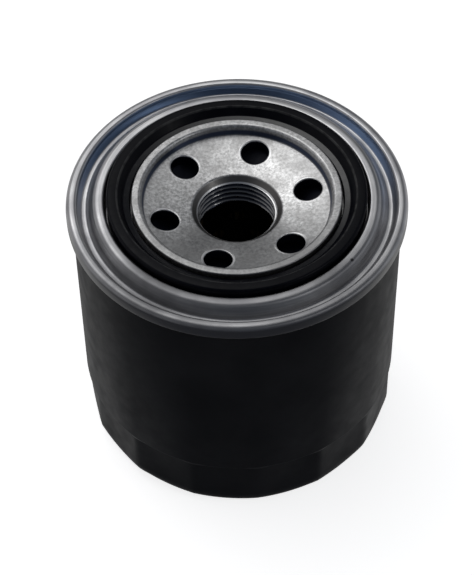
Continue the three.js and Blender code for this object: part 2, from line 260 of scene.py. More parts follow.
def coil_path(low_radius, high_radius, bottom, top, turns, crowding, steps=36):
    """A coil about Z, with its turns closer together at both ends."""
    path = []
    count = round(turns * steps)
    for i in range(count + 1):
        t = i / count
        angle = 2 * math.pi * turns * t
        radius = low_radius + (high_radius - low_radius) * t
        rise = t - crowding * math.sin(2 * math.pi * t) / (2 * math.pi)
        height = bottom + (top - bottom) * rise
        path.append(Vector((radius * math.cos(angle), radius * math.sin(angle), height)))
    return path


def cut(piece, tool):
    """Cuts the tool out of the piece and removes the tool."""
    modifier = piece.modifiers.new("cut", "BOOLEAN")
    modifier.operation = "DIFFERENCE"
    modifier.solver = "EXACT"
    modifier.object = tool
    with bpy.context.temp_override(object=piece, active_object=piece):
        bpy.ops.object.modifier_apply(modifier=modifier.name)
    bpy.data.objects.remove(tool)
    piece.data.polygons.foreach_set("use_smooth", [True] * len(piece.data.polygons))
    piece.data.set_sharp_from_angle(angle=math.radians(35))
    weighted = piece.modifiers.new("even_normals", "WEIGHTED_NORMAL")
    weighted.keep_sharp = True


def joined(objects):
    """Several objects joined into the first of them."""
    with bpy.context.temp_override(active_object=objects[0], selected_editable_objects=objects):
        bpy.ops.object.join()
    return objects[0]


# ---------------------------------------------------------------- levels and radii, in millimetres

SEAM_RADIUS = outer("seaming_lid")
LAND_TOP = high("seaming_lid")
SEAM_TOP = LAND_TOP - 0.45
SEAM_FOOT = low("seaming_lid") + 0.15
SEAM_PITCH = 0.55  # from one rolled layer to the next
GROOVE_FLOOR = low("seaming_lid") + SHEET
GROOVE_RADIUS = 31.63
LAND_OUTER = 34
VALLEY = LAND_TOP - 3.05
VALLEY_INNER = 36
VALLEY_OUTER = 37.4
LID_FOLD_TOP = SEAM_TOP - SHEET / 2
CAN_FOLD_TOP = LID_FOLD_TOP - SEAM_PITCH
CAN_RADIUS = SEAM_RADIUS - 1.3
CHUCK_WALL_INNER = 37.5  # the seam's wall on the valley's side
CHUCK_WALL_OUTER = 38.45
SKIRT_RADIUS = 40.7  # the seam's outer face lies outside this
SKIRT_UNEVENNESS = 0.04
LID_PIT = (26.5, -21.0)  # a small pit in the lid's land, drawn only as a dark spot of painted shade

PLATE_RIM_TOP = high("thread_plate")
PLATE_RIM_RADIUS = 25.25
PLATE_RIM_WIDTH = 2.15
PLATE_FLANGE_RADIUS = outer("thread_plate")
PLATE_SHEET = 3
DISH = math.tan(math.radians(10))  # the plate's slope down towards its middle
DISH_RADIUS = 22.4
COUNTERSINK = 11
MOUTH_RADIUS = 9.5
THREAD_TOP = PLATE_RIM_TOP - 6.4
THREAD_MINOR = 9.2
THREAD_MAJOR = 10
THREAD_PITCH = 1.5
BOSS_RADIUS = 12.4
BOSS_FOOT = low("threaded_boss")
INLET_COUNT = 6
INLET_RADIUS = 3.42
INLET_CIRCLE = 17.85
INLET_FIRST = math.radians(15)
INLETS_INNER = 13.5  # all six holes lie between these two radii
INLETS_OUTER = 22
DISH_AT_AXIS = PLATE_RIM_TOP - 3.6 - INLET_CIRCLE * DISH  # the dish's height, drawn on to the axis

GASKET_INNER = 25.6
GASKET_SHELF_OUTER = 27.3
GASKET_CREST_INNER = 28.7
GASKET_SHELF_DEPTH = 2  # below the crest
GASKET_SHELF_FALL = 0.3  # towards the axis

INNER_CLEARANCE = 0.02  # wire stays this far inside its CAD solid


def seam_layer(number):
    """The middle radius of one of the seam's five rolled sheets, numbered from the inside out."""
    return SEAM_RADIUS - SHEET / 2 - SEAM_PITCH * (5 - number)


# ---------------------------------------------------------------- material nodes


class Nodes:
    """Short calls for building a node tree."""

    def __init__(self, tree):
        self.tree = tree

    def node(self, kind, operation=None, **inputs):
        node = self.tree.nodes.new(kind)
        if operation:
            node.operation = operation
        for key, value in inputs.items():
            self.feed(node.inputs[key.replace("_", " ")], value)
        return node

    def feed(self, socket, value):
        if isinstance(value, bpy.types.NodeSocket):
            self.tree.links.new(value, socket)
        else:
            socket.default_value = value

    def math(self, operation, first, second):
        node = self.tree.nodes.new("ShaderNodeMath")
        node.operation = operation
        self.feed(node.inputs[0], first)
        self.feed(node.inputs[1], second)
        return node.outputs[0]

    def both(self, first, second):
        """The product of two masks, which is 1 only where both are 1."""
        return self.math("MULTIPLY", first, second)

    def fit(self, value, low_in, high_in, low_out, high_out, ease=False):
        """The value carried from one range to another, and held at its ends."""
        node = self.node("ShaderNodeMapRange", Value=value)
        if ease:
            node.interpolation_type = "SMOOTHSTEP"
        node.inputs["From Min"].default_value = low_in
        node.inputs["From Max"].default_value = high_in
        node.inputs["To Min"].default_value = low_out
        node.inputs["To Max"].default_value = high_out
        return node.outputs[0]

    def mix(self, share, first, second):
        """The first colour where share is 0, and the second where it is 1."""
        node = self.tree.nodes.new("ShaderNodeMix")
        node.data_type = "RGBA"
        self.feed(node.inputs["Factor"], share)
        for key, value in (("A", first), ("B", second)):
            socket = next(i for i in node.inputs if i.name == key and i.type == "RGBA")
            self.feed(socket, value)
        return next(o for o in node.outputs if o.type == "RGBA")


class Surface(Nodes):
    """A Principled material, with calls for the procedural nodes behind its colour, roughness and bump."""

    def __init__(self, name, **settings):
        self.material = bpy.data.materials.new(name)
        self.material.use_nodes = True
        super().__init__(self.material.node_tree)
        self.shader = self.tree.nodes["Principled BSDF"]
        for key, value in settings.items():
            self.shader.inputs[key.replace("_", " ")].default_value = value
        self.position = self.node("ShaderNodeTexCoord").outputs["Object"]
        split = self.node("ShaderNodeSeparateXYZ", Vector=self.position)
        self.height = split.outputs["Z"]
        flat = self.node("ShaderNodeCombineXYZ", X=split.outputs["X"], Y=split.outputs["Y"]).outputs[0]
        self.radius = self.node("ShaderNodeVectorMath", operation="LENGTH", Vector=flat).outputs["Value"]
        self.direction = self.node("ShaderNodeVectorMath", operation="NORMALIZE", Vector=flat).outputs[0]
        self.north = self.node("ShaderNodeSeparateXYZ", Vector=self.direction).outputs["Y"]

    def noise(self, size_mm, detail=3, vector=None, roughness=0.5):
        """Noise between about 0.2 and 0.8 whose largest features are of this size."""
        node = self.node("ShaderNodeTexNoise", Scale=1 / (size_mm * MM), Detail=detail, Roughness=roughness)
        self.feed(node.inputs["Vector"], vector or self.position)
        return node.outputs["Fac"]

    def even(self, size_mm, detail=3):
        """Noise stretched to the whole range from 0 to 1."""
        return self.fit(self.noise(size_mm, detail), 0.3, 0.7, 0, 1)

    def rings(self, spacing_mm, length_share=1.0, detail=3):
        """Noise drawn out round the Z axis, as from a lathe or a seaming roll."""
        across = self.math("ADD", self.radius, self.math("MULTIPLY", self.height, 1.3))
        across = self.node("ShaderNodeCombineXYZ", Z=across).outputs[0]
        around = self.node("ShaderNodeVectorMath", operation="SCALE", Vector=self.direction)
        around.inputs["Scale"].default_value = spacing_mm * MM * 1.5 / length_share
        vector = self.node("ShaderNodeVectorMath", operation="ADD")
        self.feed(vector.inputs[0], across)
        self.feed(vector.inputs[1], around.outputs[0])
        return self.noise(spacing_mm, detail, vector.outputs[0])

    def step(self, value, start_mm, end_mm):
        """0 before start and 1 after end, for a value in metres."""
        return self.fit(value, start_mm * MM, end_mm * MM, 0, 1)

    def band(self, value, start_mm, end_mm, fade_mm):
        """1 where value, in metres, lies between start and end, fading out over fade on both sides."""
        rise = self.step(value, start_mm - fade_mm, start_mm)
        fall = self.fit(value, end_mm * MM, (end_mm + fade_mm) * MM, 1, 0)
        return self.both(rise, fall)

    def front_shade_and_dulling(self, share):
        """Painted shade on the -Y side, where the metal is also duller: 0 away from it, and up to share in
        it.
        """
        patch = self.fit(self.north, -0.15, -0.8, 0, share, ease=True)
        return self.both(patch, self.fit(self.noise(14, 4), 0.35, 0.6, 0.55, 1))

    def brushed_round(self):
        """Turns an anisotropic highlight round the Z axis."""
        tangent = self.node("ShaderNodeTangent")
        tangent.direction_type = "RADIAL"
        tangent.axis = "Z"
        self.feed(self.shader.inputs["Tangent"], tangent.outputs[0])

    def colour(self, value):
        self.feed(self.shader.inputs["Base Color"], value)

    def roughness(self, value):
        self.feed(self.shader.inputs["Roughness"], value)

    def bump(self, *layers):
        """Each layer is (height between 0 and 1, depth in millimetres)."""
        normal = None
        for height, depth_mm in layers:
            node = self.node("ShaderNodeBump", Height=height, Strength=1.0, Distance=depth_mm * MM)
            if normal:
                self.feed(node.inputs["Normal"], normal)
            normal = node.outputs[0]
        self.feed(self.shader.inputs["Normal"], normal)


def grey(value, blue=0.0):
    """A grey with this share more blue in it."""
    return (value, value, value * (1 + blue), 1)


def rgb(red, green, blue):
    return (red, green, blue, 1)


# ---------------------------------------------------------------- materials


def black_paint():
    s = Surface("black_satin_paint", Metallic=0.0, Specular_IOR_Level=0.15)
    s.colour(s.mix(s.even(14), rgb(0.0035, 0.0037, 0.0046), rgb(0.0062, 0.0065, 0.0078)))
    s.roughness(s.fit(s.noise(4, 4), 0.3, 0.7, 0.4, 0.5))
    s.bump((s.noise(0.9, 2), 0.006), (s.noise(0.15, 2), 0.0015))
    return s.material


def tin_plate():
    """Brushed, blotchy tin, with a painted reflection on the seam's inner wall, bluer at the back, and
    painted shade on the -Y side, where the metal is also duller, on the seam's skirt and in a small pit.
    """
    s = Surface("bright_tin_plate", Metallic=1.0, Anisotropic=0.55)
    s.brushed_round()
    streaks = s.rings(0.3)
    cloud = s.noise(9, 4)
    base = s.mix(s.fit(streaks, 0.35, 0.65, 0, 1), grey(0.48, 0.02), grey(0.76, 0.01))
    base = s.mix(s.fit(cloud, 0.42, 0.72, 0, 0.6), base, grey(0.3, 0.08))

    # Painted reflection: the seam's inner wall is painted dark grey at the front and blue at the back.
    painted_reflection_on_wall = s.both(
        s.band(s.radius, CHUCK_WALL_INNER, CHUCK_WALL_OUTER, 0.25),
        s.band(s.height, VALLEY + 0.1, SEAM_TOP - 0.5, 0.3),
    )
    wall = s.mix(s.fit(s.north, -0.3, 0.5, 0, 1, ease=True), grey(0.2, 0.05), rgb(0.11, 0.16, 0.26))
    base = s.mix(painted_reflection_on_wall, base, wall)
    # Painted shade: the -Y side is painted darker.
    base = s.mix(s.front_shade_and_dulling(0.85), base, grey(0.2, 0.04))
    # Painted shade: the seam's outer skirt is painted a darker grey, in place of the dark that it reflects.
    painted_dark_skirt = s.both(
        s.band(s.radius, SKIRT_RADIUS, SEAM_RADIUS + 1, 0.25),
        s.band(s.height, SEAM_FOOT - 10, SEAM_TOP - 1.2, 0.5),
    )
    base = s.mix(painted_dark_skirt, base, grey(0.34))

    # Painted shade: the pit is a dark spot in the colour, with no hollow in the mesh.
    to_pit = s.node("ShaderNodeVectorMath", operation="DISTANCE", Vector=s.position)
    to_pit.inputs[1].default_value = Vector((*LID_PIT, LAND_TOP)) * MM
    painted_pit_shade = s.fit(to_pit.outputs["Value"], 0.25 * MM, 0.6 * MM, 0.9, 0)
    s.colour(s.mix(painted_pit_shade, base, grey(0.02)))

    blotches = s.math("ADD", s.math("MULTIPLY", streaks, 0.5), cloud)
    s.roughness(s.math("ADD", s.fit(blotches, 0.5, 1.1, 0.3, 0.44), s.front_shade_and_dulling(0.14)))
    s.bump((streaks, 0.003), (s.noise(2.5), 0.014), (s.rings(1.6, 0.5), 0.003))
    return s.material


def zinc_plate():
    """Grainy, spotted zinc, with painted shade on the -Y side, on the countersink, in the holes and the
    thread and at the rim's foot, and painted highlights on the holes' and the mouth's edges.
    """
    s = Surface("dull_zinc_steel", Metallic=0.95)
    grain = s.noise(0.75, 4, roughness=0.7)
    spots = s.noise(0.3, 2)
    cloud = s.noise(5, 5, roughness=0.6)
    base = s.mix(s.fit(grain, 0.38, 0.62, 0, 1), grey(0.42), grey(0.92))
    base = s.mix(s.fit(cloud, 0.42, 0.7, 0, 0.6), base, rgb(0.36, 0.355, 0.35))
    base = s.mix(s.fit(spots, 0.66, 0.72, 0, 0.6), base, grey(0.85))
    # Painted shade: the -Y side is painted darker.
    base = s.mix(s.front_shade_and_dulling(0.72), base, grey(0.22))
    base = s.mix(s.fit(s.radius, 17 * MM, 21.5 * MM, 0, 0.35), base, grey(0.4))

    # Painted shade: the countersink's steep lower part is painted darker.
    countersink_shade = s.both(
        s.band(s.radius, MOUTH_RADIUS + 0.2, COUNTERSINK - 0.3, 0.35),
        s.band(s.height, THREAD_TOP + 0.1, THREAD_TOP + 1.5, 0.2),
    )
    base = s.mix(countersink_shade, base, rgb(0.17, 0.165, 0.16))

    dish = s.math("ADD", s.math("MULTIPLY", s.radius, DISH), DISH_AT_AXIS * MM)
    depth = s.math("SUBTRACT", dish, s.height)
    among_holes = s.band(s.radius, INLETS_INNER, INLETS_OUTER, 0.2)
    # Painted shade: the inlet holes' walls are painted near black, with a little blue.
    in_holes = s.both(s.step(depth, 0.25, 0.7), among_holes)
    base = s.mix(in_holes, base, rgb(0.02, 0.026, 0.055))

    # Painted shade in the thread: near black in its grooves, a darker grey on its crests.
    in_thread = s.step(s.height, THREAD_TOP - 0.1, THREAD_TOP - 0.4)
    below_crests = s.step(s.radius, THREAD_MINOR + 0.15, THREAD_MINOR + 0.4)
    thread = s.mix(below_crests, grey(0.3), rgb(0.03, 0.034, 0.05))
    base = s.mix(in_thread, base, thread)

    # Painted shade: a dark blue band round the foot of the rim's inner wall.
    rim_foot_shade = s.both(
        s.band(s.radius, DISH_RADIUS + 0.1, DISH_RADIUS + 0.65, 0.1),
        s.step(s.height, PLATE_RIM_TOP - 1, PLATE_RIM_TOP - 1.5),
    )
    base = s.mix(rim_foot_shade, base, rgb(0.08, 0.1, 0.16))
    # Painted highlight: the inlet holes' rounded edges are painted bright.
    base = s.mix(s.both(s.band(depth, 0.08, 0.2, 0.04), among_holes), base, grey(0.95))
    # Painted highlight: a bright line round the mouth's edge.
    mouth_edge_highlight = s.both(
        s.band(s.radius, MOUTH_RADIUS - 0.2, MOUTH_RADIUS + 0.25, 0.08),
        s.band(s.height, THREAD_TOP - 0.12, THREAD_TOP + 0.4, 0.1),
    )
    s.colour(s.mix(mouth_edge_highlight, base, grey(0.9)))

    rough = s.fit(s.math("ADD", grain, cloud), 0.7, 1.3, 0.32, 0.46)
    inside = s.math("MAXIMUM", in_holes, in_thread)
    s.roughness(s.math("SUBTRACT", rough, s.math("MULTIPLY", inside, 0.15)))
    s.bump((grain, 0.02), (s.noise(1.8), 0.02), (spots, 0.004))
    return s.material


def gasket_rubber(name, specular, smoothest, roughest):
    """Black rubber with a painted highlight, a greyer line, along the crest's inner edge."""
    s = Surface(name, Metallic=0.0, Specular_IOR_Level=specular)
    base = s.mix(s.even(5), rgb(0.0015, 0.0018, 0.004), rgb(0.004, 0.0043, 0.007))
    on_edge = s.band(s.radius, GASKET_CREST_INNER - 0.2, GASKET_CREST_INNER + 0.15, 0.1)
    # Painted highlight: a patchy greyer line along the crest's inner edge.
    crest_highlight = s.both(on_edge, s.fit(s.noise(2), 0.35, 0.6, 0.3, 1))
    s.colour(s.mix(crest_highlight, base, rgb(0.055, 0.055, 0.056)))
    s.roughness(s.fit(s.noise(1.5, 4), 0.3, 0.7, smoothest, roughest))
    s.bump((s.noise(0.5), 0.004), (s.rings(0.5), 0.003))
    return s.material


def valve_rubber():
    s = Surface("matte_valve_rubber", Metallic=0.0, Specular_IOR_Level=0.4)
    s.colour(s.mix(s.even(3), rgb(0.004, 0.006, 0.016), rgb(0.009, 0.012, 0.03)))
    s.roughness(s.fit(s.noise(1), 0.3, 0.7, 0.5, 0.65))
    s.bump((s.noise(0.4), 0.004))
    return s.material


def inner_steel():
    s = Surface("pressed_steel", Metallic=1.0)
    streaks = s.rings(0.5)
    # Painted shade: the steel is painted dark and bluish, so that the can's inside looks dark.
    base = s.mix(s.fit(streaks, 0.3, 0.7, 0, 1), grey(0.07, 0.1), grey(0.12, 0.1))
    s.colour(s.mix(s.fit(s.noise(6, 4), 0.4, 0.8, 0, 0.5), base, grey(0.04, 0.15)))
    s.roughness(s.fit(s.noise(2, 4), 0.3, 0.7, 0.4, 0.55))
    s.bump((streaks, 0.003), (s.noise(1.2), 0.006))
    return s.material


def spring_steel():
    s = Surface("spring_wire", Metallic=1.0)
    s.colour(s.mix(s.even(1.5), grey(0.16, 0.05), grey(0.28, 0.05)))
    s.roughness(s.fit(s.noise(0.8), 0.3, 0.7, 0.25, 0.4))
    s.bump((s.noise(0.25), 0.003))
    return s.material


def filter_paper():
    s = Surface("filter_paper", Metallic=0.0, Specular_IOR_Level=0.2)
    fibre = s.noise(0.25, 6, roughness=0.75)
    s.colour(s.mix(s.fit(fibre, 0.3, 0.7, 0, 1), rgb(0.24, 0.16, 0.07), rgb(0.36, 0.25, 0.12)))
    s.roughness(s.fit(fibre, 0.3, 0.7, 0.75, 0.95))
    s.bump((fibre, 0.03))
    return s.material


def potting_resin():
    s = Surface("potting_resin", Metallic=0.0)
    s.colour(s.mix(s.even(3), rgb(0.11, 0.05, 0.025), rgb(0.2, 0.1, 0.05)))
    s.roughness(s.fit(s.noise(2), 0.3, 0.7, 0.4, 0.6))
    s.bump((s.noise(1.5), 0.05))
    return s.material


# ---------------------------------------------------------------- can

FLAT_COUNT = 15
FLAT_EDGE = math.radians(-132)  # the direction of one edge
FLAT_EDGE_RADIUS = 39.5
FLAT_EDGE_DEPTH = 0.1  # how far the edges between the flats are rounded off
FLAT_EDGE_TURN = math.radians(2.2)
FLAT_TOP = 15.8
FLAT_SHOULDER = 1.4
CAN_CORNER = 5
FOOT_RECESS = 1.2
FOOT_INNER = 24


def smooth(value, start, end):
    t = max(0, min(1, (value - start) / (end - start)))
    return t * t * (3 - 2 * t)


def pressed_flats(radius, height, angle):
    """The can's wall pressed onto flats round the closed end, with slightly rounded edges between them."""
    if radius < FOOT_INNER + 1 or height > FLAT_TOP + FLAT_SHOULDER:
        return radius
    flat = 2 * math.pi / FLAT_COUNT
    apothem = FLAT_EDGE_RADIUS * math.cos(flat / 2)
    off_middle = (angle - FLAT_EDGE) % flat - flat / 2
    plane = apothem / math.cos(off_middle)
    edge_rounding = FLAT_EDGE_DEPTH * smooth(abs(off_middle), flat / 2 - FLAT_EDGE_TURN, flat / 2)
    depth = CAN_RADIUS - plane + edge_rounding
    below_shoulder = 1 - smooth(height, FLAT_TOP, FLAT_TOP + FLAT_SHOULDER)
    return radius - depth * smooth(height, 0, CAN_CORNER) * below_shoulder


def make_can():
    wall = CAN_RADIUS - SHEET / 2
    foot = SHEET / 2
    rows = [(wall, FLAT_TOP + FLAT_SHOULDER * k / 8) for k in range(9)]
    outline = strip_outline(
        [
            (0, foot + FOOT_RECESS),
            (FOOT_INNER - 1.6, foot + FOOT_RECESS, 1.5),
            (FOOT_INNER, foot, 1),
            (wall, foot, CAN_CORNER - foot),
            *rows,
            (wall, SEAM_FOOT - 1.4, 0.6),
            (seam_layer(2), SEAM_FOOT - 0.5, 0.6),
            (seam_layer(2), CAN_FOLD_TOP, 0.4),
            (seam_layer(4), CAN_FOLD_TOP, 0.5),
            (seam_layer(4), SEAM_FOOT + 1),
        ],
        SHEET,
    )
    outline[0].x = outline[-1].x = 0
    return revolve("can", outline, ROUND, pressed_flats)


# ---------------------------------------------------------------- lid, plate and gasket


def rolled_unevenly(radius, height, angle):
    """The seaming rolls leave the skirt a few hundredths of a millimetre uneven, always inwards."""
    if radius < SEAM_RADIUS - 0.1:
        return radius
    spot = Vector((math.cos(angle) * 2.5, math.sin(angle) * 2.5, height * 0.4))
    return radius - SKIRT_UNEVENNESS * (0.5 + 0.5 * noise.noise(spot))


def make_lid():
    half = SHEET / 2
    outline = strip_outline(
        [
            (PLATE_RIM_RADIUS + 0.45, GROOVE_FLOOR - half),
            (GROOVE_RADIUS + half, GROOVE_FLOOR - half, 0.5),
            (GROOVE_RADIUS + half, LAND_TOP - half, 0.5),
            (LAND_OUTER, LAND_TOP - half, 1.3),
            (VALLEY_INNER, VALLEY - half, 1),
            (VALLEY_OUTER, VALLEY - half, 0.6),
            (seam_layer(1), VALLEY + 1.2, 0.7),
            (seam_layer(1), LID_FOLD_TOP, 0.5),
            (seam_layer(5), LID_FOLD_TOP, 1.1),
            (seam_layer(5), SEAM_FOOT + half, 0.45),
            (seam_layer(3), SEAM_FOOT + half, 0.45),
            (seam_layer(3), CAN_FOLD_TOP - 0.6),
        ],
        SHEET,
    )
    return revolve("lid", outline, ROUND, rolled_unevenly)


def threaded(radius, height, angle):
    """The bore's wall follows a right-handed V thread."""
    if radius > THREAD_MINOR + 0.01 or height > THREAD_TOP:
        return radius
    turn = (height / THREAD_PITCH - angle / (2 * math.pi)) % 1
    from_crest = 1 - abs(turn - 0.5) * 2
    groove = max(0, min(1, (from_crest - 0.1) / 0.75))
    return THREAD_MINOR + (THREAD_MAJOR - THREAD_MINOR) * groove


def plate_top(radius):
    return DISH_AT_AXIS + radius * DISH


def make_drill(angle):
    """The cutter of one inlet hole. It rounds the hole's edge, and slants with the dish."""
    surface = plate_top(INLET_CIRCLE)
    foot = surface - PLATE_SHEET - 2
    outline = rounded_line(
        [
            (0, foot),
            (INLET_RADIUS, foot),
            (INLET_RADIUS, surface, 0.3),
            (INLET_RADIUS + 0.6, surface),
            (INLET_RADIUS + 0.6, surface + 2),
            (0, surface + 2),
        ]
    )
    drill = revolve("drill", outline, 64)
    slant = Matrix.Identity(4)
    slant[2][0] = DISH
    drill.data.transform(slant)
    drill.data.transform(Matrix.Rotation(angle, 4, "Z") @ Matrix.Translation((INLET_CIRCLE * MM, 0, 0)))
    return drill


def make_plate():
    flange_top = GROOVE_FLOOR - SHEET - 0.2
    under = plate_top(DISH_RADIUS) - PLATE_SHEET
    bore_rows = 64
    bore_top = THREAD_TOP - 0.05
    bore_length = THREAD_TOP - (BOSS_FOOT + 0.4)
    bore = [(THREAD_MINOR, bore_top - bore_length * k / bore_rows) for k in range(bore_rows + 1)]
    outline = rounded_line(
        [
            (THREAD_MINOR + 0.5, BOSS_FOOT),
            (BOSS_RADIUS, BOSS_FOOT, 0.3),
            (BOSS_RADIUS, plate_top(BOSS_RADIUS) - PLATE_SHEET, 0.8),
            (DISH_RADIUS, under),
            (PLATE_RIM_RADIUS + 1, under),
            (PLATE_RIM_RADIUS + 2.2, under - 1.5),
            (PLATE_FLANGE_RADIUS, under - 1.5),
            (PLATE_FLANGE_RADIUS, flange_top),
            (PLATE_RIM_RADIUS, flange_top),
            (PLATE_RIM_RADIUS, PLATE_RIM_TOP, 0.35),
            (PLATE_RIM_RADIUS - PLATE_RIM_WIDTH, PLATE_RIM_TOP, 0.9),
            (DISH_RADIUS, plate_top(DISH_RADIUS), 0.2),
            (COUNTERSINK, plate_top(COUNTERSINK), 0.9),
            (MOUTH_RADIUS, THREAD_TOP),
            *bore,
        ]
    )
    plate = revolve("plate", outline, ROUND, threaded)
    cut(plate, joined([make_drill(INLET_FIRST + 2 * math.pi * k / INLET_COUNT) for k in range(INLET_COUNT)]))
    return plate


def make_gasket():
    bottom, top, edge = low("sealing_gasket"), high("sealing_gasket"), outer("sealing_gasket")
    shelf = top - GASKET_SHELF_DEPTH
    outline = rounded_line(
        [
            (GASKET_INNER + 1.4, bottom),
            (edge, bottom, 0.3),
            (edge, top, 0.7),
            (GASKET_CREST_INNER, top, 0.25),
            (GASKET_SHELF_OUTER, shelf, 0.7),
            (GASKET_INNER, shelf - GASKET_SHELF_FALL, 0.4),
            (GASKET_INNER, bottom, 0.3),
            (GASKET_INNER + 1.4, bottom),
        ]
    )[:-1]
    return revolve("gasket", outline, ROUND)


def oil_shelf(gasket, finish):
    """Gives the faces of the gasket's low inner shelf a finish of their own."""
    gasket.data.materials.append(finish)
    for face in gasket.data.polygons:
        inside = face.center.xy.length < (GASKET_SHELF_OUTER - 0.1) * MM
        face.material_index = int(inside and face.normal.z > 0.9)


def make_drain_valve():
    node = "anti_drainback_valve"
    bottom, top, edge = low(node), high(node), outer(node)
    seat = bottom + 1.1
    sleeve = BOSS_RADIUS + 0.2
    outline = rounded_line(
        [
            (sleeve, bottom),
            (sleeve + 1.4, bottom),
            (sleeve + 1.4, seat),
            (17, seat, 1),
            (edge - 2, top - 1.3, 1),
            (edge, top - 0.7, 0.3),
            (edge, top, 0.2),
            (edge - 2.2, top, 0.6),
            (16.4, seat + 1.4, 1),
            (sleeve, seat + 1.9),
        ]
    )
    return revolve("drain_valve_cone", outline, INNER_ROUND)


# ---------------------------------------------------------------- the element's pieces


def make_cap(name, node, collar, side):
    """An end cap. Its collar and skirt turn down where side is 1, and up where side is -1."""
    collar_height, skirt_height = 2.4, 3
    edge = outer(node) - CAP_SHEET / 2
    disc = high(node) - CAP_SHEET / 2 if side > 0 else low(node) + CAP_SHEET / 2
    corners = [
        (collar, disc - side * collar_height),
        (collar, disc, 0.6),
        (edge, disc, 0.8),
        (edge, disc - side * skirt_height),
    ]
    return revolve(name, strip_outline(corners, CAP_SHEET), INNER_ROUND)


def make_ring(name, node, inner, rounding):
    outline = ring_outline(inner, outer(node), low(node), high(node), rounding)
    return revolve(name, outline, INNER_ROUND)


def aim_outwards(cutter, angle, height):
    """Lays an upright cutter over, so that it points away from the Z axis at this height."""
    lie = Matrix.Rotation(math.radians(90), 4, "Y")
    lift = Matrix.Translation((0, 0, height * MM))
    cutter.data.transform(lift @ Matrix.Rotation(angle, 4, "Z") @ lie)


def make_tube():
    inner, hole_radius = 15, 1.9
    rows, columns = 7, 10
    bottom, top, edge = low("centre_tube"), high("centre_tube"), outer("centre_tube")
    tube = revolve("perforated_tube", ring_outline(inner, edge, bottom, top, 0.1), INNER_ROUND)
    drills = []
    for row in range(rows):
        for column in range(columns):
            drill = revolve("drill", ring_outline(0, hole_radius, inner - 2, inner + 3, 0.05), 24)
            angle = 2 * math.pi * (column + (row % 2) / 2) / columns
            aim_outwards(drill, angle, bottom + (top - bottom) * (row + 1) / (rows + 1))
            drills.append(drill)
    cut(tube, joined(drills))
    return tube


def make_paper():
    """Paper folded in and out round the tube. Its two ends stand side by side on +X."""
    pleats, paper = 54, 0.5
    inner, outside = 16.5, 33.4
    half_inner_fold, half_outer_fold, half_end_gap = 0.45, 0.6, 0.55
    corners = [(outside, half_end_gap)]
    for k in range(pleats):
        start = 2 * math.pi * k / pleats
        middle = 2 * math.pi * (k + 0.5) / pleats
        if k:
            for offset in (-half_outer_fold, half_outer_fold):
                angle = start + offset / outside
                corners.append((outside * math.cos(angle), outside * math.sin(angle), 0.5))
        for offset in (-half_inner_fold, half_inner_fold):
            angle = middle + offset / inner
            corners.append((inner * math.cos(angle), inner * math.sin(angle), 0.4))
    corners.append((outside, -half_end_gap))
    return prism("pleated_paper", strip_outline(corners, paper), low("pleated_media"), high("pleated_media"))


def make_clip():
    sheet, length = 0.25, 4
    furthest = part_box("pleat_seam_clip")[1] / MM
    half = furthest.y - sheet / 2
    outside = furthest.x - sheet / 2
    inside = outside - length
    corners = [(inside, -half), (outside, -half, 0.4), (outside, half, 0.4), (inside, half)]
    return prism("paper_clip", strip_outline(corners, sheet), low("pleat_seam_clip"), high("pleat_seam_clip"))


def make_valve_seat():
    bottom, edge = low("bypass_valve_seat"), outer("bypass_valve_seat")
    floor = bottom + SHEET / 2
    wall = edge - SHEET / 2
    mouth = 6.9  # the rim that the washer rests on
    corners = [(wall, floor + 2), (wall, floor, 0.5), (mouth + 0.5, floor, 0.4), (mouth, floor + 1.1)]
    return revolve("bypass_seat", strip_outline(corners, SHEET), INNER_ROUND)


def make_cage():
    guide_bore = 2.6
    window_count, half = 4, 4
    bottom, top, edge = low("bypass_cage"), high("bypass_cage"), outer("bypass_cage")
    wall, roof = edge - SHEET / 2, top - SHEET / 2
    cage = revolve(
        "bypass_guide_cage",
        strip_outline([(wall, bottom), (wall, roof, 1.5), (guide_bore, roof)], SHEET),
        INNER_ROUND,
    )
    window_outline = rounded_line(
        [(0, half), (-half, half, 1), (-half, -half, 1), (half, -half, 1), (half, half, 1), (0, half)]
    )[:-1]
    windows = []
    for k in range(window_count):
        window = prism("window", window_outline, edge - 3, edge + 3)
        aim_outwards(window, 2 * math.pi * k / window_count, (bottom + top) / 2)
        windows.append(window)
    cut(cage, joined(windows))
    return cage


def make_rivet():
    bottom, top, head = low("bypass_rivet"), high("bypass_rivet"), outer("bypass_rivet")
    stem = 1.8
    shoulder = bottom + 0.85
    outline = rounded_line(
        [
            (0, bottom),
            (head, bottom, 0.5),
            (head, shoulder, 0.1),
            (stem, shoulder),
            (stem, top, 0.5),
            (0, top),
        ]
    )
    return revolve("bypass_rivet_stem", outline, 64)


def make_bypass_coil():
    bottom, top = low("bypass_spring"), high("bypass_spring")
    radius = 4.8
    gauge = 0.45  # the wire's radius
    path = coil_path(radius, radius, bottom + gauge, top - gauge, turns=5, crowding=0.35)
    return wire("bypass_coil", path, gauge - INNER_CLEARANCE)


def make_element_coil():
    bottom, top = low("element_spring"), high("element_spring")
    foot_radius, head_radius = 19.5, 15.5
    gauge = 0.8  # the wire's radius
    path = coil_path(foot_radius, head_radius, bottom + gauge, top - gauge, turns=3, crowding=0.25, steps=60)
    return wire("element_coil", path, gauge - INNER_CLEARANCE, sides=14)


# ---------------------------------------------------------------- the pieces on their bodies


def place(piece, body, slot_name, finish, *nodes):
    """Gives a piece its material, and sets it on its body in place of CAD nodes."""
    piece.data.materials.clear()
    piece.data.materials.append(finish)
    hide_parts(*nodes)
    if body:
        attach(piece, body)
    return piece


POPPET_BORE = 1.95

